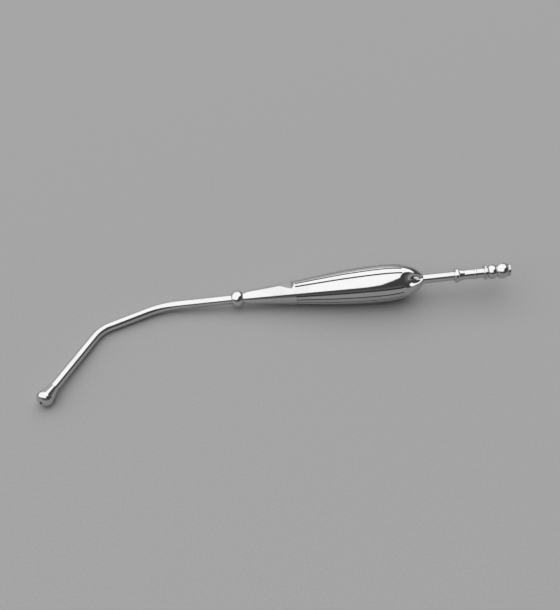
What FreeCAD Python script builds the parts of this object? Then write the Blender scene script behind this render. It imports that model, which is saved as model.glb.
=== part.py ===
import FreeCAD, Part
import math
import os

# Reusable metal Yankauer suction tip, lying on a table.
# Millimetres. The working frame has the grip's axis along X, hose end at +X, and the
# two bends of the tube in the XY plane, turning towards -Y. The finished parts are then
# laid on Z = 0 as the real instrument comes to rest, on belly, second bend and tip bulb.

Vec = FreeCAD.Vector

# Suction tube
tube_diameter = 5.5
tube_wall = 0.7
front_run = 44.0          # centre of the front bead to the corner of the first bend
middle_run = 38.8         # corner to corner
tip_run = 60.0            # corner of the second bend to the front of the tip bulb
first_bend = 23.0         # degrees
second_bend = 38.5
first_bend_radius = 45.0
second_bend_radius = 18.0
solder_gap = 0.03         # all round, between the tube and what is soldered on it

# Tip bulb
bulb_diameter = 9.7
dome_length = 3.5
flare_length = 8.2
flare_lip = 0.12          # step where the flare starts on the tube
bulb_edge_radius = 1.7
mouth_diameter = 1.6
mouth_length = 1.3
tip_socket_depth = 4.6
vent_diameter = 0.9
vent_count = 4
vent_setback = 0.6        # behind the widest ring of the bulb
vent_turn = 27.0          # degrees

# Bead in front of the grip
bead_diameter = 9.9
bead_length = 6.8
bead_shoulder_diameter = 6.6
bead_neck_length = 1.4
bead_neck_diameter = 6.6

# Grip, two soldered half shells. Stations are measured from the grip's front face.
grip_wall = 0.9
grip_front_radius = 3.75
lead_in_length = 3.4
lead_in_radius = 4.3
cone_length = 19.4
cone_radius = 5.95
swell_station = 48.0
swell_radius = 9.3
belly_station = 79.0
belly_radius = 11.35
shoulder_station = 90.0
shoulder_radius = 10.6
heel_station = 98.9
heel_radius = 7.85
grip_length = 104.7
grip_rear_radius = 3.3
collar_length = 5.0       # solid stretch of each half round the tube at the front
rear_collar_length = 4.0
parting_roll = 44.0       # degrees from the plane of the bends to the parting plane

# Flutes pressed into each half
flute_count = 8
strip_half_angle = 25.0   # plain strip each side of the parting plane
flute_width = 0.85
flute_depth = 0.34
flute_start = 29.8
flute_end = 91.7

# Finger scallop across the upper half, just ahead of the flutes
scallop_start = 19.6
scallop_deepest = 25.6
scallop_end = 27.0
scallop_depth = 0.7
scallop_half_angle = 67.0

# Pinch where the halves meet at the rear: floor radius and half width of the trough
pinch_height = 3.0
pinch_start = 85.8
pinch_start_floor = 12.2
pinch_shoulder = 89.3
pinch_shoulder_floor = 10.75
pinch_shoulder_half_width = 8.3
pinch_knee = 92.8
pinch_knee_floor = 8.9
pinch_knee_half_width = 7.6
pinch_waist = 95.8
pinch_waist_floor = 7.0
pinch_waist_half_width = 4.5
pinch_throat = 98.3
pinch_throat_floor = 5.6
pinch_throat_half_width = 2.6
pinch_tail = 101.6
pinch_tail_floor = 4.4
pinch_tail_half_width = 1.5
pinch_end_floor = 3.1
pinch_end_half_width = 0.6

# Hose connector behind the grip
tail_run = 18.7           # grip's rear end to the connector's collar
collar_width = 2.9
collar_diameter = 8.5
collar_round = 0.7
stem_diameter = 5.9
stem_length = 14.9        # collar to flange
stem_taper_length = 3.0
stem_ridge_diameter = 6.5
stem_ridge_width = 1.6
stem_ridge_from_flange = 4.6
flange_diameter = 9.1
flange_width = 1.3
flange_gap = 0.7
first_olive_diameter = 8.8
first_olive_length = 5.4
olive_neck_diameter = 6.4
last_olive_diameter = 9.5
last_olive_length = 6.8
last_olive_front_share = 0.52
end_lip_diameter = 7.5
end_lip_length = 1.3
end_lip_round = 0.3
hose_end_chamfer = 0.4

# Derived places
tube_radius = tube_diameter / 2
lumen_radius = tube_radius - tube_wall
seat_radius = tube_radius + solder_gap
grip_front_x = bead_length / 2 + bead_neck_length
grip_rear_x = grip_front_x + grip_length
collar_x = grip_rear_x + tail_run
stem_x = collar_x + collar_width
flange_x = stem_x + stem_length
first_olive_x = flange_x + flange_width + flange_gap
last_olive_x = first_olive_x + first_olive_length
end_lip_x = last_olive_x + last_olive_length
hose_end_x = end_lip_x + end_lip_length


def revolve(edges):
    """Solid of revolution about X from edges drawn in the XZ plane, z as the radius."""
    face = Part.Face(Part.Wire(edges))
    return face.revolve(Vec(0, 0, 0), Vec(1, 0, 0), 360)


def line(a, b):
    return Part.LineSegment(Vec(a[0], 0, a[1]), Vec(b[0], 0, b[1])).toShape()


def tangent_arc(start, heading, end):
    """Arc from start to end that leaves along heading, and its heading at the end."""
    a, b = Vec(start[0], 0, start[1]), Vec(end[0], 0, end[1])
    chord = b - a
    along = Vec(chord).normalize()
    side = (heading - along * heading.dot(along)).normalize()
    half_turn = math.acos(heading.dot(along)) / 2
    middle = a + chord * 0.5 + side * (chord.Length / 2 * math.tan(half_turn))
    return Part.Arc(a, middle, b).toShape(), along * (2 * heading.dot(along)) - heading


def polyline(points):
    return [line(a, b) for a, b in zip(points, points[1:])]


def rod(x0, x1, radius):
    return Part.makeCylinder(radius, x1 - x0, Vec(x0, 0, 0), Vec(1, 0, 0))


def bulge(x0, x1, end_radius, crest_radius, share=0.5):
    """Two arcs over the stretch x0 to x1 that meet level at the crest."""
    crest = (x0 + (x1 - x0) * share, crest_radius)
    front = tangent_arc(crest, Vec(-1, 0, 0), (x0, end_radius))[0]
    rear = tangent_arc(crest, Vec(1, 0, 0), (x1, end_radius))[0]
    return [front, rear]


# Places and directions along the bent tube, in the working frame

def tube_heading(turn):
    return Vec(-math.cos(math.radians(turn)), -math.sin(math.radians(turn)), 0)


first_corner = Vec(-front_run, 0, 0)
second_corner = first_corner + tube_heading(first_bend) * middle_run
tip_heading = tube_heading(first_bend + second_bend)
tip_front = second_corner + tip_heading * tip_run
bulb_centre = tip_front - tip_heading * dome_length


def bend_arc(corner, before, after, turn, radius):
    """Start, middle and end of the arc that rounds a corner of the tube's centre line."""
    reach = radius * math.tan(math.radians(turn) / 2)
    start = corner - before * reach
    end = corner + after * reach
    inward = (after - before).normalize()
    centre = corner + inward * (radius / math.cos(math.radians(turn) / 2))
    return start, centre - inward * radius, end


def tube_path(tip_end):
    straight = tube_heading(0)
    middle = tube_heading(first_bend)
    start1, mid1, end1 = bend_arc(first_corner, straight, middle, first_bend, first_bend_radius)
    start2, mid2, end2 = bend_arc(second_corner, middle, tip_heading, second_bend, second_bend_radius)
    return Part.Wire([
        Part.LineSegment(Vec(stem_x, 0, 0), start1).toShape(),
        Part.Arc(start1, mid1, end1).toShape(),
        Part.LineSegment(end1, start2).toShape(),
        Part.Arc(start2, mid2, end2).toShape(),
        Part.LineSegment(end2, tip_end).toShape(),
    ])


def swept_tube(path, radius):
    start = path.Edges[0].Vertexes[0].Point
    section = Part.Wire(Part.makeCircle(radius, start, Vec(-1, 0, 0)))
    return path.makePipeShell([section], True, True)


def make_suction_tube():
    tip_end = tip_front - tip_heading * (dome_length + flare_length - tip_socket_depth)
    path = tube_path(tip_end)
    return swept_tube(path, tube_radius).cut(swept_tube(path, lumen_radius))


def make_tip_bulb():
    """Turned tip, drawn on the X axis with its mouth at +X, then swung onto the tube's end."""
    radius = bulb_diameter / 2
    rear = -flare_length
    socket_end = rear + tip_socket_depth
    chamber_end = dome_length - mouth_length
    lip_radius = tube_radius + flare_lip
    flare_slope = math.atan2(radius - lip_radius, flare_length)
    tangent = Vec(math.cos(flare_slope), 0, math.sin(flare_slope))
    edge_start = Vec(-bulb_edge_radius, 0, radius - bulb_edge_radius * math.tan(flare_slope))
    dome_points = []
    for step in range(1, 7):
        angle = math.radians(90 - 15 * step)
        dome_points.append(Vec(dome_length * math.cos(angle), 0, radius * math.sin(angle)))
    front = Part.BSplineCurve()
    front.interpolate(Points=[edge_start] + dome_points, InitialTangent=tangent, FinalTangent=Vec(0, 0, -1))
    body = revolve([
        line((rear, lip_radius), (edge_start.x, edge_start.z)),
        front.toShape(),
        line((dome_length, 0), (rear, 0)),
        line((rear, 0), (rear, lip_radius)),
    ])
    body = body.cut(rod(rear, socket_end, seat_radius))
    body = body.cut(rod(socket_end, chamber_end, lumen_radius))
    body = body.cut(rod(chamber_end, dome_length, mouth_diameter / 2))
    for number in range(vent_count):
        angle = math.radians(vent_turn + 360 / vent_count * number)
        outward = Vec(0, math.cos(angle), math.sin(angle))
        body = body.cut(Part.makeCylinder(vent_diameter / 2, radius * 1.2, Vec(-vent_setback, 0, 0), outward))
    turn = FreeCAD.Rotation(Vec(1, 0, 0), tip_heading)
    body.Placement = FreeCAD.Placement(bulb_centre, turn)
    return body


def make_front_bead():
    half = bead_length / 2
    shoulder = bead_shoulder_diameter / 2
    crown = bulge(-half, half, shoulder, bead_diameter / 2)
    sides = polyline([(half, shoulder), (half, 0), (-half, 0), (-half, shoulder)])
    neck = rod(half, grip_front_x, bead_neck_diameter / 2)
    return revolve(crown + sides).fuse(neck).cut(rod(-half, grip_front_x, seat_radius)).removeSplitter()


def grip_nose(inset):
    """Outline of the grip from its front face to the end of the plain cone."""
    def place(station, radius):
        return grip_front_x + station, radius - inset
    slope = Vec(cone_length - lead_in_length, 0, cone_radius - lead_in_radius).normalize()
    lead_in = tangent_arc(place(lead_in_length, lead_in_radius), slope * -1, place(0, grip_front_radius))[0]
    cone = line(place(lead_in_length, lead_in_radius), place(cone_length, cone_radius))
    return [lead_in, cone]


def grip_body(inset):
    """The rest of the outline: a straight flank, then arcs that follow on smoothly to the rear."""
    def place(station, radius):
        return grip_front_x + station, radius - inset
    heading = Vec(swell_station - cone_length, 0, swell_radius - cone_radius).normalize()
    edges = [line(place(cone_length, cone_radius), place(swell_station, swell_radius))]
    last = place(swell_station, swell_radius)
    for station, radius in ((belly_station, belly_radius), (shoulder_station, shoulder_radius),
                            (heel_station, heel_radius), (grip_length, grip_rear_radius)):
        edge, heading = tangent_arc(last, heading, place(station, radius))
        edges.append(edge)
        last = place(station, radius)
    return edges


def grip_radius(station):
    """Outer radius of the grip behind its plain cone, at a distance from its front face."""
    x = grip_front_x + station
    ray = Part.makeLine(Vec(x, 0, 0), Vec(x, 0, belly_radius * 2))
    return Part.Wire(grip_body(0)).distToShape(ray)[1][0][0].z


def solid_grip(inset):
    edges = grip_nose(inset) + grip_body(inset)
    front = (grip_front_x, grip_front_radius - inset)
    rear = (grip_rear_x, grip_rear_radius - inset)
    return revolve(edges + polyline([rear, (rear[0], 0), (front[0], 0), front]))


def facing(shape, angle):
    """Turn a shape drawn on the +Z side to an angle from the near plain strip."""
    turned = shape.copy()
    turned.rotate(Vec(0, 0, 0), Vec(1, 0, 0), 90 - angle - parting_roll)
    return turned


def make_pinch(allowance):
    """Trough that pinches the strip at the rear: lofted ellipses, wide in front, a slit at the back."""
    sections = [
        (pinch_start, pinch_start_floor, pinch_shoulder_half_width),
        (pinch_shoulder, pinch_shoulder_floor, pinch_shoulder_half_width),
        (pinch_knee, pinch_knee_floor, pinch_knee_half_width),
        (pinch_waist, pinch_waist_floor, pinch_waist_half_width),
        (pinch_throat, pinch_throat_floor, pinch_throat_half_width),
        (pinch_tail, pinch_tail_floor, pinch_tail_half_width),
        (grip_length + 2.0, pinch_end_floor, pinch_end_half_width),
    ]
    wires = []
    for station, floor, half_width in sections:
        centre = Vec(grip_front_x + station, 0, floor + pinch_height)
        points = []
        for step in range(16):
            angle = math.radians(22.5 * step)
            points.append(centre + Vec(0, (half_width + allowance) * math.sin(angle),
                                       -(pinch_height + allowance) * math.cos(angle)))
        outline = Part.BSplineCurve()
        outline.interpolate(Points=points, PeriodicFlag=True)
        wires.append(Part.Wire(outline.toShape()))
    return Part.makeLoft(wires, True, False)


def make_flute():
    """Round-bottomed cutter that follows the grip's outline, rounded off at its front end."""
    rise = (flute_width ** 2 / 4 - flute_depth ** 2) / (2 * flute_depth)
    cutter_radius = rise + flute_depth
    flank, swell, belly, shoulder = grip_body(-rise)[:4]
    start = flank.Vertexes[0].Point
    heading = flank.Vertexes[1].Point - start
    circle = Part.makeCircle(cutter_radius, start, heading)
    # The circle's own start, and so the cutter's seam, is kept clear of the surface it cuts.
    circle.rotate(start, heading, 180)
    full = Part.Wire([flank, swell, belly, shoulder]).makePipeShell([Part.Wire(circle)], True, False)
    front_x = grip_front_x + flute_start
    groove = full.common(rod(front_x, grip_front_x + flute_end, belly_radius * 2))
    front = Part.makeSphere(cutter_radius, Vec(front_x, 0, grip_radius(flute_start) + rise))
    return groove.fuse(front)


def make_scallop():
    """Ring cutter set off centre, so that its cut is deepest at the middle of the upper half."""
    spread = math.cos(math.radians(scallop_half_angle))
    offset = scallop_depth / (1 - spread)
    start_radius = cone_radius - 0.05
    deep_radius = grip_radius(scallop_deepest) + offset * spread
    end_radius = grip_radius(scallop_end) + offset * spread
    outer = belly_radius * 1.5
    x0, x1, x2 = (grip_front_x + s for s in (scallop_start, scallop_deepest, scallop_end))
    ring = revolve(polyline([(x0, start_radius + offset), (x1, deep_radius), (x2, end_radius + offset),
                             (x2, outer), (x0, outer), (x0, start_radius + offset)]))
    ring.translate(Vec(0, 0, -offset))
    return ring


def make_grip_half():
    """Lower half shell. The revolved surfaces' own seam is in the half that is cut away."""
    side = belly_radius * 4
    keep = facing(Part.makeBox(grip_length, side, side, Vec(grip_front_x, -side / 2, 0)), -90)
    outer = facing(solid_grip(0), 90).common(keep)
    hollow = facing(solid_grip(grip_wall), 90).common(
        rod(grip_front_x + collar_length, grip_rear_x - rear_collar_length, belly_radius * 2))
    for angle in (0, 180):
        outer = outer.cut(facing(make_pinch(0), angle))
        hollow = hollow.cut(facing(make_pinch(grip_wall), angle))
    flute = make_flute()
    pitch = (180 - 2 * strip_half_angle) / (flute_count - 1)
    for number in range(flute_count):
        outer = outer.cut(facing(flute, -strip_half_angle - pitch * number))
    return outer.cut(hollow).cut(rod(grip_front_x, grip_rear_x, seat_radius))


def make_grip_halves():
    """Both halves are the same pressing; the upper one then gets its scallop."""
    lower = make_grip_half()
    upper = lower.copy()
    upper.rotate(Vec(0, 0, 0), Vec(1, 0, 0), 180)
    return upper.cut(facing(make_scallop(), 90)), lower


def make_hose_connector():
    collar_r = collar_diameter / 2
    stem_r = stem_diameter / 2
    flange_r = flange_diameter / 2
    neck_r = olive_neck_diameter / 2
    lip_r = end_lip_diameter / 2
    ridge_end = flange_x - stem_ridge_from_flange
    ridge_start = ridge_end - stem_ridge_width
    body = revolve(polyline([
        (collar_x, 0), (collar_x, collar_r - collar_round), (collar_x + collar_round, collar_r),
        (stem_x - collar_round, collar_r), (stem_x, stem_r + collar_round),
        (stem_x + stem_taper_length, stem_r), (ridge_start, stem_r),
        (ridge_start + 0.3, stem_ridge_diameter / 2), (ridge_end - 0.3, stem_ridge_diameter / 2),
        (ridge_end, stem_r), (flange_x, stem_r), (flange_x, flange_r - 0.25), (flange_x + 0.25, flange_r),
        (flange_x + flange_width - 0.25, flange_r), (flange_x + flange_width, flange_r - 0.25),
        (flange_x + flange_width, neck_r), (first_olive_x, neck_r)])
        + bulge(first_olive_x, last_olive_x, neck_r, first_olive_diameter / 2)
        + bulge(last_olive_x, end_lip_x, neck_r, last_olive_diameter / 2, last_olive_front_share)
        + polyline([(end_lip_x, neck_r), (end_lip_x, lip_r - end_lip_round), (end_lip_x + end_lip_round, lip_r),
                    (hose_end_x - end_lip_round, lip_r), (hose_end_x, lip_r - end_lip_round),
                    (hose_end_x, 0), (collar_x, 0)]))
    body = body.cut(rod(collar_x, stem_x, seat_radius))
    body = body.cut(rod(stem_x, hose_end_x, lumen_radius))
    mouth = Part.makeCone(lumen_radius, lumen_radius + hose_end_chamfer, hose_end_chamfer,
                          Vec(hose_end_x - hose_end_chamfer, 0, 0), Vec(1, 0, 0))
    return body.cut(mouth)


# How it lies on the table

def grip_support(lean):
    """Point of the grip's outline that reaches furthest towards a table leaning along the axis."""
    points = Part.Wire(grip_body(0)).discretize(600)
    return max(points, key=lambda point: point.x * lean + point.z * math.sqrt(1 - lean * lean))


def table_normal():
    """Unit vector to the table of the plane that touches belly, second bend and tip bulb."""
    bend = bend_arc(second_corner, tube_heading(first_bend), tip_heading,
                    second_bend, second_bend_radius)[1]
    x, y = 0.0, 0.0
    # The normal's x and y parts follow from two level differences; where the belly touches
    # depends on the lean, so a few rounds settle it.
    for _ in range(4):
        support = grip_support(x)
        belly = Vec(support.x, 0, 0)
        belly_level = support.z * math.sqrt(1 - x * x)
        a, b = belly - bend, belly - bulb_centre
        rise_a, rise_b = tube_radius - belly_level, bulb_diameter / 2 - belly_level
        determinant = a.x * b.y - a.y * b.x
        x = (rise_a * b.y - rise_b * a.y) / determinant
        y = (a.x * rise_b - b.x * rise_a) / determinant
    return Vec(x, y, -math.sqrt(1 - x * x - y * y))


def main():
    shapes = {
        "suction_tube": make_suction_tube(),
        "tip_bulb": make_tip_bulb(),
        "front_bead": make_front_bead(),
        "hose_connector": make_hose_connector(),
    }
    shapes["grip_shell_upper"], shapes["grip_shell_lower"] = make_grip_halves()

    settle = FreeCAD.Rotation(table_normal(), Vec(0, 0, -1))
    axis = settle.multVec(Vec(1, 0, 0))
    level = FreeCAD.Rotation(Vec(0, 0, 1), -math.degrees(math.atan2(axis.y, axis.x)))
    turn = level.multiply(settle)
    laid = {}
    for name, shape in shapes.items():
        placed = shape.copy()
        placed.Placement = FreeCAD.Placement(Vec(0, 0, 0), turn).multiply(placed.Placement)
        laid[name] = placed
    box = Part.makeCompound(list(laid.values())).optimalBoundingBox(False, False)
    shift = Vec(-(box.XMin + box.XMax) / 2, -(box.YMin + box.YMax) / 2, -box.ZMin)

    os.makedirs("parts", exist_ok=True)
    for name, shape in laid.items():
        shape.translate(shift)
        shape.exportStep("parts/%s.step" % name)
        print(name, "valid", shape.isValid(), "solids", len(shape.Solids), "volume %.1f" % shape.Volume)


main()
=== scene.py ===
"""Studio view of a reusable metal Yankauer suction tip lying on a pale table."""
import math

import bpy
from mathutils import Matrix, Vector


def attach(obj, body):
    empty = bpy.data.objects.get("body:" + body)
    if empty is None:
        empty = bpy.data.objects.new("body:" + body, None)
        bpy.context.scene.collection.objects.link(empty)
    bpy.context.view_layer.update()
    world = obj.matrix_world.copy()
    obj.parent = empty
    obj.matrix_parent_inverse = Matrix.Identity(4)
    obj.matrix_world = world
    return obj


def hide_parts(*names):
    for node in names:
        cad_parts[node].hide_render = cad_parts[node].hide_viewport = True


bl_info = {
    "name": "Yankauer suction tip",
    "version": (1, 0, 0),
    "blender": (4, 5, 0),
    "location": "3D View > Sidebar > Suction Tip",
    "description": "Dresses the suction tip's parts in polished plating and sets the studio",
    "category": "Object",
}

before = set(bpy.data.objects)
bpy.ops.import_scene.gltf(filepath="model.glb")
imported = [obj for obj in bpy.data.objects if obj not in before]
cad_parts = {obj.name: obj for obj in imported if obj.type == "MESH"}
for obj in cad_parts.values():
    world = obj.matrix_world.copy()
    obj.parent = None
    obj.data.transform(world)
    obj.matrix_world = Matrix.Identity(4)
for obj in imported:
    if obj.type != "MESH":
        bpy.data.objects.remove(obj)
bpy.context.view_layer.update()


class Wire:
    """A shader socket that can be used in Python expressions on values."""

    def __init__(self, tree, socket):
        self.tree = tree
        self.socket = socket

    def maths(self, operation, *others):
        return Shader(self.tree).node("ShaderNodeMath", {"operation": operation}, self, *others)

    def __add__(self, other):
        return self.maths("ADD", other)

    __radd__ = __add__

    def __mul__(self, other):
        return self.maths("MULTIPLY", other)

    __rmul__ = __mul__

    def __sub__(self, other):
        return self.maths("SUBTRACT", other)

    def __rsub__(self, other):
        return self * -1 + other

    def step(self, low, high):
        """0 below low, 1 above high, smooth between."""
        return Shader(self.tree).node("ShaderNodeMapRange", {"interpolation_type": "SMOOTHSTEP"},
                                      self, low, high, 0.0, 1.0)


class Shader:
    """Adds nodes to one node tree."""

    def __init__(self, tree):
        self.tree = tree

    def node(self, kind, settings=None, *values, output=None, **named):
        """Add a node: its settings first, then its sockets in order, then sockets by name."""
        made = self.tree.nodes.new(kind)
        for key, value in (settings or {}).items():
            setattr(made, key, value)
        filled = list(zip([i for i in made.inputs if i.enabled], values))
        filled += [(made.inputs[key.replace("_", " ")], value) for key, value in named.items()]
        for socket, value in filled:
            if isinstance(value, Wire):
                self.tree.links.new(value.socket, socket)
            else:
                socket.default_value = value
        outputs = [made.outputs[output]] if output else [o for o in made.outputs if o.enabled]
        return Wire(self.tree, outputs[0]) if outputs else None

    def blend(self, factor, first, second):
        """Mix two colours."""
        return self.node("ShaderNodeMix", {"data_type": "RGBA"}, factor, first, second)

    def axes(self, vector):
        """The three numbers of a vector."""
        split = self.node("ShaderNodeSeparateXYZ", None, vector).socket.node
        return [Wire(self.tree, number) for number in split.outputs]


def new_material(name):
    material = bpy.data.materials.new(name)
    material.use_nodes = True
    material.node_tree.nodes.clear()
    return material, Shader(material.node_tree)


class FinishSettings(bpy.types.PropertyGroup):
    """Colours and polish of the plating."""
    plating: bpy.props.FloatVectorProperty(
        name="Plating", description="Colour of the polished plating", subtype="COLOR", size=3,
        default=(0.62, 0.62, 0.625), min=0.0, max=1.0)
    tarnish: bpy.props.FloatVectorProperty(
        name="Tarnish", description="Colour of the thin haze on the plating", subtype="COLOR", size=3,
        default=(0.3, 0.29, 0.28), min=0.0, max=1.0)
    # Painted shade: a near-black colour laid into the bottom of the flutes, where shade falls
    painted_flute_shade: bpy.props.FloatVectorProperty(
        name="Film", description="Colour at the bottom of the flutes", subtype="COLOR", size=3,
        default=(0.035, 0.035, 0.04), min=0.0, max=1.0)
    polish: bpy.props.FloatProperty(
        name="Polish", description="Roughness of the buffed surface", subtype="FACTOR",
        default=0.07, min=0.0, max=1.0)
    ripple: bpy.props.FloatProperty(
        name="Ripple", description="Height of the faint waves that buffing leaves", unit="LENGTH",
        default=0.00002, min=0.0, max=0.001, precision=6)


class GripSettings(bpy.types.PropertyGroup):
    """Sizes of the pressed grip shells."""
    wall: bpy.props.FloatProperty(
        name="Wall", description="Thickness of the pressed sheet", unit="LENGTH",
        default=0.0009, min=0.0001, precision=5)
    seat: bpy.props.FloatProperty(
        name="Seat", description="Radius of the bore round the tube", unit="LENGTH",
        default=0.00278, min=0.0001, precision=5)
    flute_width: bpy.props.FloatProperty(
        name="Flute width", description="Across one flute", unit="LENGTH",
        default=0.00085, min=0.0001, precision=5)
    flute_depth: bpy.props.FloatProperty(
        name="Flute depth", description="Depth of one flute", unit="LENGTH",
        default=0.00034, min=0.00001, precision=5)
    flute_count: bpy.props.IntProperty(name="Flutes", description="Flutes in each half", default=8, min=2)
    strip: bpy.props.FloatProperty(
        name="Plain strip", description="Half angle of the plain strip at each joint", subtype="ANGLE",
        default=math.radians(25.0))
    scallop_depth: bpy.props.FloatProperty(
        name="Scallop depth", description="Depth of the finger scallop at its middle", unit="LENGTH",
        default=0.0016, min=0.0, precision=5)
    scallop_angle: bpy.props.FloatProperty(
        name="Scallop angle", description="From the near joint to the middle of the scallop",
        subtype="ANGLE", default=math.radians(57.0))
    edge_round: bpy.props.FloatProperty(
        name="Edge round", description="Size of the soft edge that buffing leaves on the scallop",
        unit="LENGTH", default=0.00035, min=0.00001, precision=5)


class StageSettings(bpy.types.PropertyGroup):
    """The table's colour and the camera."""
    table: bpy.props.FloatVectorProperty(
        name="Table", description="Colour of the table top", subtype="COLOR", size=3,
        default=(0.32, 0.32, 0.32), min=0.0, max=1.0)
    eye: bpy.props.FloatVectorProperty(
        name="Eye", description="Place of the camera", subtype="XYZ", unit="LENGTH", size=3,
        default=(-0.0366, -0.3716, 0.4076))
    heading: bpy.props.FloatProperty(
        name="Heading", description="Turn of the camera to the right of +Y", subtype="ANGLE",
        default=math.radians(5.239))
    dip: bpy.props.FloatProperty(
        name="Dip", description="How far the camera looks down", subtype="ANGLE",
        default=math.radians(45.482))
    roll: bpy.props.FloatProperty(
        name="Roll", description="Turn of the camera about its own line of sight", subtype="ANGLE",
        default=math.radians(0.166))
    field: bpy.props.FloatProperty(
        name="Field of view", description="Angle across the picture's width", subtype="ANGLE",
        default=math.radians(32.353))


# Values of the noise between which haze and wipe marks come up to full strength
HAZE_SHOWS = (0.45, 0.75)
WIPES_SHOW = (0.5, 0.9)
# Shares of a flute's depth between which the painted shade in the flutes does
PAINTED_SHADE_SHOWS = (0.0, 0.25)
# Roughness that each adds to the polish
HAZE_ROUGHNESS = 0.05
WIPES_ROUGHNESS = 0.03
FLUTE_SHADE_ROUGHNESS = 0.25
# Share of its own colour that each lays over the plating
HAZE_COVER = 0.12
# The painted shade lays its near-black colour over almost all of the plating in the flutes
PAINTED_SHADE_COVER = 0.97


def plated_metal(name, settings, fluted=False):
    """Bright plating with a faint ripple, fine wipe marks, a little haze and painted shade, near black,
    in the flutes.
    """
    material, shader = new_material(name)
    place = shader.node("ShaderNodeTexCoord", output="Object")
    waves = shader.node("ShaderNodeTexNoise", None, place, Scale=180.0, Detail=3.0, Roughness=0.5)
    wipes = shader.node("ShaderNodeTexNoise", None, place, Scale=900.0, Detail=5.0, Roughness=0.6)
    smudge = shader.node("ShaderNodeTexNoise", None, place, Scale=60.0, Detail=4.0, Roughness=0.55)
    haze = smudge.step(*HAZE_SHOWS)
    roughness = settings.polish + haze * HAZE_ROUGHNESS + wipes.step(*WIPES_SHOW) * WIPES_ROUGHNESS
    colour = shader.blend(haze * HAZE_COVER, (*settings.plating, 1.0), (*settings.tarnish, 1.0))
    if fluted:
        # Painted shade: the flutes' depth blends the plating into a near-black colour that stands in for
        # the shade in the grooves
        recess = shader.node("ShaderNodeAttribute", {"attribute_name": "recess"}, output="Fac")
        painted_flute_shade = recess.step(*PAINTED_SHADE_SHOWS)
        roughness = roughness + painted_flute_shade * FLUTE_SHADE_ROUGHNESS
        colour = shader.blend(painted_flute_shade * PAINTED_SHADE_COVER, colour, (*settings.painted_flute_shade, 1.0))
    bump = shader.node("ShaderNodeBump", None, Height=waves, Strength=1.0, Distance=settings.ripple)
    surface = shader.node("ShaderNodeBsdfPrincipled", None, Base_Color=colour, Metallic=1.0,
                          Roughness=roughness, Normal=bump)
    shader.node("ShaderNodeOutputMaterial", None, surface)
    return material


def dress(node, material):
    """Give a CAD node its material."""
    piece = bpy.data.objects[node]
    piece.data.materials.clear()
    piece.data.materials.append(material)


# The grip's own sizes are in millimetres, and stations are measured from its front end.
MM = 0.001

# Where the grip lies: the columns of the turn are its axis towards the rear and its own Y and Z
GRIP_TURN = Matrix(((0.998048, 0.00485, -0.06226),
                    (0.0, 0.99693, 0.0785),
                    (0.062453, -0.07835, 0.99498)))
BEAD_CENTRE = Vector((-25.02, 28.561, 6.44))
# From the bead's centre to the grip's front end
GRIP_FRONT = 4.8
# Turn of the joint plane about the grip's axis
PARTING_ROLL = math.radians(44.0)

# Outline of the grip, station and radius: a rounded nose and a cone, then arcs that run into each other
NOSE = ((0.0, 3.75), (3.4, 4.3), (19.4, 5.95), (48.0, 9.3))
BODY = ((79.0, 11.35), (90.0, 10.6), (98.9, 7.85), (104.7, 3.3))
NOSE_STEPS = 30
BODY_STEPS = 120
GRIP_LENGTH = BODY[-1][0]
# Taken off the radius all round, so that the shells stay inside the solids
BUFFED_OFF = 0.02
# Stations where the flutes begin and end
FLUTES = (29.8, 91.7)
# Where the grip is thinner than this, the flutes' columns keep the angles that they have at this radius
FLUTED_RADIUS = 7.0
# Finger scallop: stations of its start, its deepest place and its end
SCALLOP = (21.0, 27.2, 29.0)
# The scallop's edge is sought this far past its ends and this far round from its middle
SCALLOP_PAST = 1.0
SCALLOP_ROUND = math.radians(75.0)
# Trough that pinches the strip at the rear: station, radius at the floor and half width at the rim
PINCH = ((86.8, 12.2, 2.0), (90.3, 10.6, 3.6), (93.2, 8.9, 4.6), (95.8, 6.6, 4.5), (98.2, 4.2, 3.8),
         (100.0, 3.1, 3.2), (102.5, 3.15, 2.3), (106.7, 3.6, 1.0))
# How sharply the trough's sides turn down from its rim
PINCH_POWER = 1.25
# Lengths at the two ends where the shells close in on the tube
FRONT_COLLAR = 5.0
REAR_COLLAR = 4.0

# Rows along the grip: start, end and spacing, close where the shape changes quickly
ROWS = ((0.0, 3.4, 0.4), (3.4, 18.6, 1.2), (18.6, 28.0, 0.2), (28.0, 29.3, 0.4), (29.3, 29.9, 0.06),
        (29.9, 86.0, 1.5), (86.0, 91.6, 0.3), (91.6, 92.2, 0.06), (92.2, GRIP_LENGTH, 0.14))
# Columns on the plain strip, which stop short of the first flute: parts of its half angle, and how many
STRIP_PARTS = 34
STRIP_COLUMNS = 28
# Columns across a flute, as shares of half its width
FLUTE_COLUMNS = (-1.35, -1.06, -1.0, -0.9, -0.6, 0.0, 0.6, 0.9, 1.0, 1.06, 1.35)
# Columns between two flutes, as shares of the way: more beside the strips, for the trough's rim
GAP_COLUMNS = (0.35, 0.5, 0.65)
RIM_COLUMNS = (0.3, 0.36, 0.42, 0.48, 0.54, 0.6, 0.66)
# Columns inside the shells, in degrees from the joint
INNER_COLUMNS = (0, 4, 9, 16, 26, 50, 90, 130, 154, 164, 171, 176, 180)
# Edges that bend more than this are shaded sharp
SHARP_EDGE = math.radians(50.0)


def tangent_arc(start, heading, end, steps):
    """Points of the arc that leaves start along heading and reaches end, and its last heading."""
    chord = end - start
    turn = heading.angle_signed(chord)
    points = []
    for step in range(1, steps + 1):
        part = turn * step / steps
        reach = chord.length * math.sin(part) / math.sin(turn)
        points.append(start + Matrix.Rotation(-part, 2) @ heading * reach)
    return points, Matrix.Rotation(-2 * turn, 2) @ heading


def grip_outline():
    """Closely spaced points of the grip's outline, from front to rear."""
    nose = [Vector(point) for point in NOSE]
    slope = (nose[2] - nose[1]).normalized()
    rounding = tangent_arc(nose[1], -slope, nose[0], NOSE_STEPS)[0]
    points = rounding[::-1] + nose[1:]
    heading = (nose[3] - nose[2]).normalized()
    for reached in BODY:
        arc, heading = tangent_arc(points[-1], heading, Vector(reached), BODY_STEPS)
        points += arc
    return points


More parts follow.
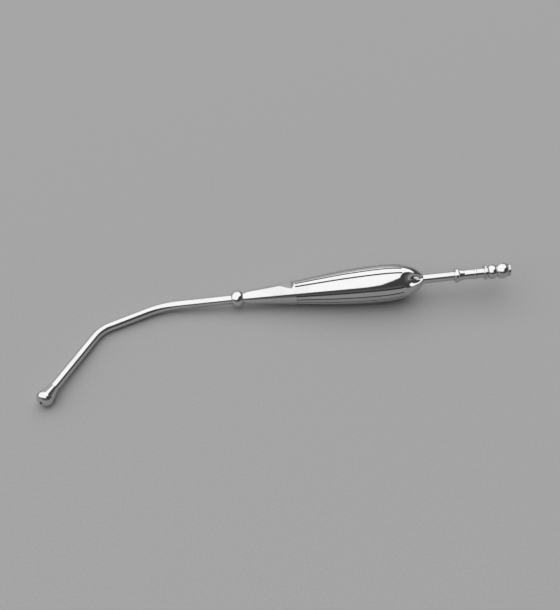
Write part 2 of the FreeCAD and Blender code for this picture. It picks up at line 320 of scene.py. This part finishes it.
def between(points, x, column):
    """A column's value at x on a smooth curve through the points."""
    last = len(points) - 2
    i = max(k for k in range(last + 1) if points[k][0] <= x or k == 0)
    a, b = points[i], points[i + 1]
    before, after = points[max(i - 1, 0)], points[min(i + 2, last + 1)]
    width = b[0] - a[0]
    t = (x - a[0]) / width
    rise_a = (b[column] - before[column]) / (b[0] - before[0]) * width
    rise_b = (after[column] - a[column]) / (after[0] - a[0]) * width
    return (a[column] * (2 * t ** 3 - 3 * t ** 2 + 1) + rise_a * (t ** 3 - 2 * t ** 2 + t)
            + b[column] * (3 * t ** 2 - 2 * t ** 3) + rise_b * (t ** 3 - t ** 2))


def along(points, x):
    """Value at x on the straight runs between the points."""
    low, high = 0, len(points) - 1
    while high - low > 1:
        middle = (low + high) // 2
        low, high = (middle, high) if points[middle][0] <= x else (low, middle)
    a, b = points[low], points[high]
    return a[1] + (b[1] - a[1]) * (x - a[0]) / (b[0] - a[0])


def soft_min(a, b, size):
    """The lesser of two radii, with the corner between them eased off inwards."""
    near = max(size - abs(a - b), 0.0) / size
    return min(a, b) - near * near * size / 4


class GripForm:
    """Radius of one grip shell's outer and inner surface, in millimetres."""

    def __init__(self, settings, scalloped):
        self.outline = grip_outline()
        self.scalloped = scalloped
        self.wall = settings.wall / MM
        self.seat = settings.seat / MM
        self.edge_round = settings.edge_round / MM
        self.scallop_depth = settings.scallop_depth / MM
        self.scallop_angle = settings.scallop_angle
        self.strip = settings.strip
        self.flute_depth = settings.flute_depth / MM
        self.half_flute = settings.flute_width / MM / 2
        self.rise = (self.half_flute ** 2 - self.flute_depth ** 2) / (2 * self.flute_depth)
        self.cutter = self.rise + self.flute_depth
        self.pitch = (math.pi - 2 * self.strip) / (settings.flute_count - 1)
        self.flute_angles = [self.strip + self.pitch * n for n in range(settings.flute_count)]

    def plain(self, station):
        """Radius before flutes, scallop and pinch."""
        return along(self.outline, station) - BUFFED_OFF

    def groove(self, station, offset):
        """Depth of a flute at a distance from its middle, cut round and with rounded ends."""
        past = max(0.0, FLUTES[0] - station, station - FLUTES[1])
        inside = self.cutter ** 2 - offset ** 2 - past ** 2
        return max(0.0, math.sqrt(max(inside, 0.0)) - self.rise)

    def scallop(self, station, angle, radius):
        """Radius with the finger scallop, a flat that sinks to its deepest place and rises steeply."""
        start, deepest, end = SCALLOP
        turn = angle - self.scallop_angle
        if not start - SCALLOP_PAST < station < end + SCALLOP_PAST or abs(turn) > SCALLOP_ROUND:
            return radius
        flat = ((start, self.plain(start)), (deepest, self.plain(deepest) - self.scallop_depth),
                (end, self.plain(end)))
        return soft_min(radius, along(flat, station) / math.cos(turn), self.edge_round)

    def pinch(self, station, angle, radius):
        """Radius with the trough that pinches the strip at the rear."""
        if station < PINCH[0][0]:
            return radius
        depth = radius - between(PINCH, station, 1)
        across = radius * math.sin(angle) / between(PINCH, station, 2)
        if depth <= 0 or abs(across) >= 1:
            return radius
        return radius - depth * (1 - across ** 2) ** PINCH_POWER

    def pressed(self, station, angle):
        """Outer radius without flutes."""
        radius = self.pinch(station, angle, self.plain(station))
        return self.scallop(station, angle, radius) if self.scalloped else radius

    def inner(self, station, angle):
        """Inner radius: the tube's seat at the two collars, the inside of the sheet between them."""
        if not FRONT_COLLAR < station < GRIP_LENGTH - REAR_COLLAR:
            return self.seat
        return max(self.seat, self.pressed(station, angle) - self.wall)


def stations():
    """Stations of the rows along the grip."""
    rows = []
    for start, end, spacing in ROWS:
        count = round((end - start) / spacing)
        rows += [start + (end - start) * n / count for n in range(count)]
    return rows + [GRIP_LENGTH]


def columns(form):
    """Columns round the outside of one half: an angle, and a distance from a flute's middle or None."""
    strip = [form.strip * n / STRIP_PARTS for n in range(STRIP_COLUMNS)]
    last = len(form.flute_angles) - 1
    made = [(angle, None) for angle in strip]
    for number, angle in enumerate(form.flute_angles):
        made += [(angle, form.half_flute * share) for share in FLUTE_COLUMNS]
        if number < last:
            gap = RIM_COLUMNS if number in (0, last - 1) else GAP_COLUMNS
            made += [(angle + form.pitch * share, None) for share in gap]
    return made + [(math.pi - angle, None) for angle in reversed(strip)]


def grip_point(station, angle, radius):
    """A point in the grip's own frame laid into the scene, in metres."""
    turn = angle - math.pi / 2 + PARTING_ROLL
    point = Vector((GRIP_FRONT + station, math.sin(turn) * radius, math.cos(turn) * radius))
    return (GRIP_TURN @ point + BEAD_CENTRE) * MM


def shell_points(form, rows, outer, half_turn):
    """Points outside and then inside, row by row, and how deep in a flute each lies."""
    points = []
    depths = []
    for station in rows:
        fluted_radius = max(form.plain(station), FLUTED_RADIUS)
        for angle, offset in outer:
            turn = angle if offset is None else angle + offset / fluted_radius
            depth = 0.0 if offset is None else form.groove(station, offset)
            radius = form.pressed(station, turn) - depth
            points.append(grip_point(station, turn + half_turn, radius))
            depths.append(depth)
    for station in rows:
        for angle in map(math.radians, INNER_COLUMNS):
            points.append(grip_point(station, angle + half_turn, form.inner(station, angle)))
            depths.append(0.0)
    return points, depths


def shell_faces(rows, outer, inner):
    """Faces outside, inside, along the joint and at both ends, from the numbers of rows and columns."""
    first_inner = rows * outer
    faces = []
    for row in range(rows - 1):
        for start, count, flip in ((0, outer, False), (first_inner, inner, True)):
            for column in range(count - 1):
                corner = start + row * count + column
                face = (corner, corner + count, corner + count + 1, corner + 1)
                faces.append(face[::-1] if flip else face)
        for outer_column, inner_column in ((0, 0), (outer - 1, inner - 1)):
            out = row * outer + outer_column
            into = first_inner + row * inner + inner_column
            face = (out, into, into + inner, out + outer)
            faces.append(face if outer_column == 0 else face[::-1])
    for row in (0, rows - 1):
        rim = [row * outer + n for n in range(outer)]
        bore = [first_inner + row * inner + n for n in range(inner)]
        face = rim + bore[::-1]
        faces.append(face if row == 0 else face[::-1])
    return faces


def grip_shell(name, settings, turned):
    """One pressed half: fluted outside, smooth inside, closed along the joint and at both ends."""
    form = GripForm(settings, scalloped=not turned)
    rows = stations()
    outer = columns(form)
    points, depths = shell_points(form, rows, outer, math.pi if turned else 0.0)
    mesh = bpy.data.meshes.new(name)
    mesh.from_pydata(points, [], shell_faces(len(rows), len(outer), len(INNER_COLUMNS)))
    mesh.shade_smooth()
    mesh.set_sharp_from_angle(angle=SHARP_EDGE)
    # How deep in a flute each point lies, which places the painted shade in the flutes
    recess = mesh.attributes.new("recess", "FLOAT", "POINT")
    recess.data.foreach_set("value", [depth / form.flute_depth for depth in depths])
    piece = bpy.data.objects.new(name, mesh)
    bpy.context.scene.collection.objects.link(piece)
    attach(piece, "root")
    return piece


class SUCTION_OT_grip(bpy.types.Operator):
    """Press the two fluted grip shells in smooth sheet"""
    bl_idname = "suction_tip.grip"
    bl_label = "Press the grip shells"

    def execute(self, context):
        for side, turned in (("upper", False), ("lower", True)):
            piece = grip_shell("pressed_shell_" + side, context.scene.suction_grip, turned)
            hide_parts("grip_shell_" + side)
            # Plating with painted shade in the flutes
            metal = plated_metal("plating_grip_" + side, context.scene.suction_finish, fluted=True)
            piece.data.materials.append(metal)
        return {"FINISHED"}


class SUCTION_OT_plating(bpy.types.Operator):
    """Dress every part in polished plating"""
    bl_idname = "suction_tip.plating"
    bl_label = "Plate the parts"

    def execute(self, context):
        settings = context.scene.suction_finish
        for node in ("suction_tube", "tip_bulb", "front_bead", "hose_connector"):
            dress(node, plated_metal("plating_" + node, settings))
        return {"FINISHED"}


# The table reaches this far each way from the middle, in metres
TABLE_REACH = 2.0
# How much darker and lighter than its colour the table's grain is, and the values of the noise for each
TABLE_GRAIN = 0.04
GRAIN_SHOWS = (0.3, 0.7)

# Brightness of the lit ceiling, the wall behind and the other walls, and what is added near the floor
WHITE = (1.0, 1.0, 1.0, 1.0)
CEILING = 1.5
BACK_WALL = 0.55
WALLS = 0.07
NEAR_FLOOR = 0.08
# The room's directions have parts to the right, to the back and up, each from -1 to 1.
# The ceiling's front and back edges: share of the part to the back and of the part up
FRONT_EDGE = (0.29, 0.49)
BACK_EDGE = (-0.5, 0.87)
# Its right edge: share of the part to the right and of the part up
RIGHT_EDGE = (-0.6, 0.8)
# The front edge slants back towards the right by this share, as far as this part
SLANT = 0.9
SLANT_END = 0.4
# Half the width of the ceiling's soft edges
SOFT_EDGE = 0.02
# Parts over which the wall behind comes up towards the back and fades towards the right
BACK_WALL_BEGINS = (0.3, 0.9)
BACK_WALL_ENDS = (0.15, 0.55)
# Parts up over which the light near the floor fades
NEAR_FLOOR_ENDS = (0.1, 0.4)


class SUCTION_OT_stage(bpy.types.Operator):
    """Set the table, the light and the camera"""
    bl_idname = "suction_tip.stage"
    bl_label = "Set the stage"

    def execute(self, context):
        scene = context.scene
        settings = scene.suction_stage
        self.table(scene, settings)
        self.room(scene)
        self.camera(scene, settings)
        scene.view_settings.view_transform = "Standard"
        return {"FINISHED"}

    def table(self, scene, settings):
        """A plain table top with a faint grain."""
        mesh = bpy.data.meshes.new("table_top")
        corners = [(x * TABLE_REACH, y * TABLE_REACH, 0) for x, y in ((-1, -1), (1, -1), (1, 1), (-1, 1))]
        mesh.from_pydata(corners, [], [(0, 1, 2, 3)])
        top = bpy.data.objects.new("table_top", mesh)
        scene.collection.objects.link(top)
        material, shader = new_material("table_top")
        place = shader.node("ShaderNodeTexCoord", output="Object")
        grain = shader.node("ShaderNodeTexNoise", None, place, Scale=700.0, Detail=6.0, Roughness=0.7)
        dark = [part * (1 - TABLE_GRAIN) for part in settings.table]
        light = [part * (1 + TABLE_GRAIN) for part in settings.table]
        colour = shader.blend(grain.step(*GRAIN_SHOWS), (*dark, 1.0), (*light, 1.0))
        surface = shader.node("ShaderNodeBsdfPrincipled", None, Base_Color=colour, Roughness=0.75)
        shader.node("ShaderNodeOutputMaterial", None, surface)
        mesh.materials.append(material)

    def room(self, scene):
        """A white ceiling over the table and to its left, a grey wall behind, dim walls elsewhere."""
        world = bpy.data.worlds.new("studio")
        world.use_nodes = True
        world.node_tree.nodes.clear()
        shader = Shader(world.node_tree)
        right, back, up = shader.axes(shader.node("ShaderNodeTexCoord", output="Generated"))
        slant = right.maths("MAXIMUM", 0.0).maths("MINIMUM", SLANT_END) * SLANT
        past_front = (up * FRONT_EDGE[1] + back * FRONT_EDGE[0] - slant).step(-SOFT_EDGE, SOFT_EDGE)
        before_back = (up * BACK_EDGE[1] + back * BACK_EDGE[0]).step(-SOFT_EDGE, SOFT_EDGE)
        left_of_right = (up * RIGHT_EDGE[1] + right * RIGHT_EDGE[0]).step(-SOFT_EDGE, SOFT_EDGE)
        ceiling = past_front * before_back * left_of_right
        near_floor = 1 - up.step(*NEAR_FLOOR_ENDS)
        behind = back.step(*BACK_WALL_BEGINS) * (1 - right.step(*BACK_WALL_ENDS))
        wall = behind * (BACK_WALL - WALLS) + near_floor * NEAR_FLOOR + WALLS
        brightness = ceiling * CEILING + (1 - ceiling) * wall
        light = shader.node("ShaderNodeBackground", None, WHITE, brightness)
        shader.node("ShaderNodeOutputWorld", None, light)
        scene.world = world

    def camera(self, scene, settings):
        """The camera, placed and turned as for the photograph."""
        data = bpy.data.cameras.new("camera")
        data.sensor_fit = "HORIZONTAL"
        data.angle = settings.field
        data.clip_start = 0.01
        camera = bpy.data.objects.new("camera", data)
        heading = Matrix.Rotation(-settings.heading, 4, "Z")
        dip = Matrix.Rotation(math.pi / 2 - settings.dip, 4, "X")
        roll = Matrix.Rotation(settings.roll, 4, "Z")
        camera.matrix_world = Matrix.Translation(settings.eye) @ heading @ dip @ roll
        scene.collection.objects.link(camera)
        scene.camera = camera


class SUCTION_PT_sidebar(bpy.types.Panel):
    """Lists the settings and the steps that dress the suction tip"""
    bl_label = "Suction Tip"
    bl_idname = "SUCTION_PT_sidebar"
    bl_space_type = "VIEW_3D"
    bl_region_type = "UI"
    bl_category = "Suction Tip"

    def draw(self, context):
        scene = context.scene
        for group in (scene.suction_finish, scene.suction_grip, scene.suction_stage):
            for key in group.__annotations__:
                self.layout.prop(group, key)
        for step in OPERATORS:
            self.layout.operator(step.bl_idname)


SETTINGS = (FinishSettings, GripSettings, StageSettings)
OPERATORS = (SUCTION_OT_grip, SUCTION_OT_plating, SUCTION_OT_stage)
CLASSES = SETTINGS + OPERATORS + (SUCTION_PT_sidebar,)


def register():
    for cls in CLASSES:
        bpy.utils.register_class(cls)
    bpy.types.Scene.suction_finish = bpy.props.PointerProperty(type=FinishSettings)
    bpy.types.Scene.suction_grip = bpy.props.PointerProperty(type=GripSettings)
    bpy.types.Scene.suction_stage = bpy.props.PointerProperty(type=StageSettings)


def unregister():
    del bpy.types.Scene.suction_stage
    del bpy.types.Scene.suction_grip
    del bpy.types.Scene.suction_finish
    for cls in reversed(CLASSES):
        bpy.utils.unregister_class(cls)


def main():
    register()
    bpy.ops.suction_tip.grip()
    bpy.ops.suction_tip.plating()
    bpy.ops.suction_tip.stage()


if __name__ == "__main__":
    main()
